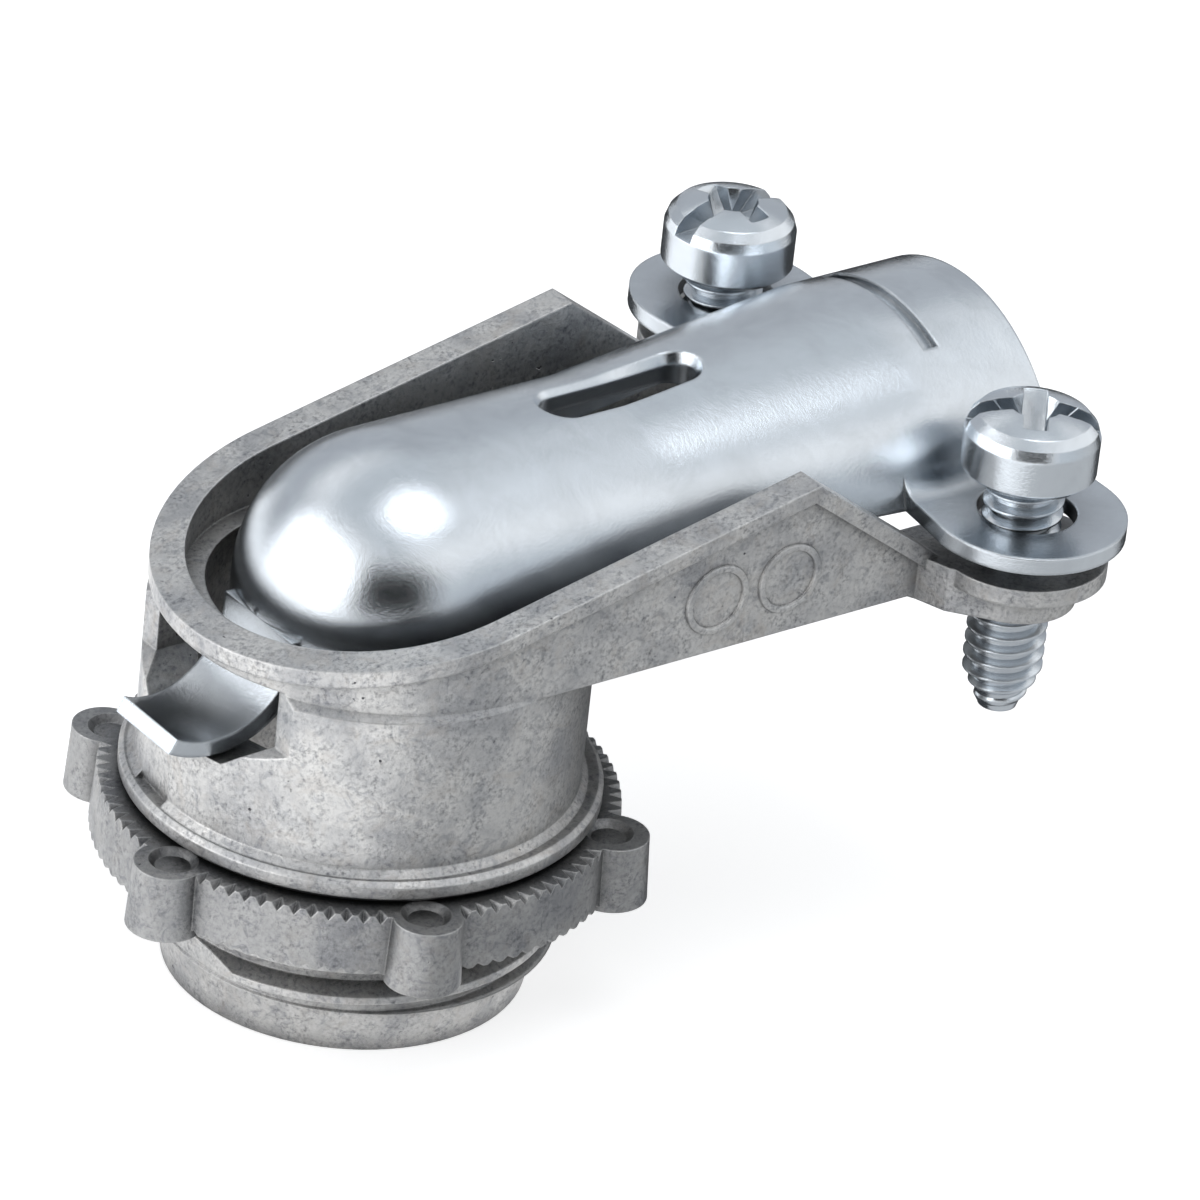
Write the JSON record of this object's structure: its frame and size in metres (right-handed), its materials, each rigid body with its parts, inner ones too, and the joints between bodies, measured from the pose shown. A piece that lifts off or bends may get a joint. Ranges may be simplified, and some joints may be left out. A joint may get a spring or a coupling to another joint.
{
  "type": "conduit connector",
  "caption": "Right-angle die-cast connector that clamps flexible metal conduit under a screwed saddle strap, with a threaded hub and locknut.",
  "frame": {"origin": "on the hub's axis, in the plane of the shoulder's face that seats on the box wall", "axes": "+Z along the hub's axis, out of the box; +X towards the mouth where the conduit enters"},
  "size_m": [0.0505, 0.0356, 0.0307],
  "materials": {
    "cast_zinc": "bare zinc die-casting, tumbled, mottled light grey",
    "plated_sheet": "bright bluish zinc plating on pressed steel",
    "plated_screw": "bright bluish zinc plating",
    "cast_nut": "bare zinc die-casting, slightly darker than the body"
  },
  "bodies": {
    "body": {"body": "cast_zinc"},
    "strap": {"strap": "plated_sheet"},
    "screw_near": {"screw_near": "plated_screw"},
    "screw_far": {"screw_far": "plated_screw"},
    "locknut": {"locknut": "cast_nut"}
  },
  "joints": [
    {"name": "strap_tilt", "type": "hinge", "parent": "body", "child": "strap", "pos_m": [-0.0096, 0, 0.0055], "axis": [0, -1, 0], "range_deg": [-1.3, 2.3]},
    {"name": "screw_near_turn", "type": "hinge", "parent": "body", "child": "screw_near", "pos_m": [0.0302, -0.01267, 0.0119], "axis": [0, 0, 1], "continuous": true},
    {"name": "screw_far_turn", "type": "hinge", "parent": "body", "child": "screw_far", "pos_m": [0.0302, 0.01267, 0.0119], "axis": [0, 0, 1], "continuous": true},
    {"name": "locknut_turn", "type": "hinge", "parent": "body", "child": "locknut", "pos_m": [0, 0, -0.00175], "axis": [0, 0, 1], "continuous": true}
  ]
}
